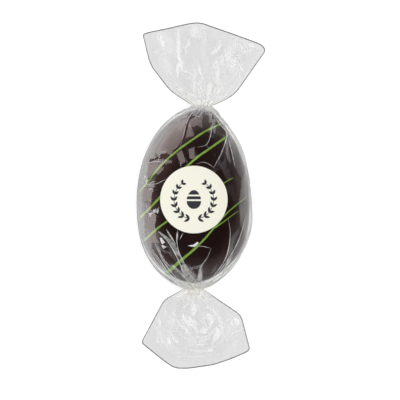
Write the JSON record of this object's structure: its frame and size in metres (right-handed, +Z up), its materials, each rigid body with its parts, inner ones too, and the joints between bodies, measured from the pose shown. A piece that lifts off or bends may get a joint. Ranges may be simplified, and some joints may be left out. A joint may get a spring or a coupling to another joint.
{
  "type": "marzipan egg",
  "caption": "Marzipan egg in dark chocolate with green icing drizzle, wrapped in clear film that is twisted shut at both ends, with a round paper label on top.",
  "frame": {"origin": "middle of the flat spot that the lying egg rests on, under its belly", "axes": "+Z up through the label, +Y along the egg towards its pointed end, +X to the right of that"},
  "size_m": [0.0567, 0.1517, 0.0398],
  "materials": {
    "wrapper": "clear glossy film over dark chocolate",
    "label": "uncoated cream paper"
  },
  "bodies": {
    "root": {"wrapper": "wrapper", "label": "label"}
  },
  "joints": []
}
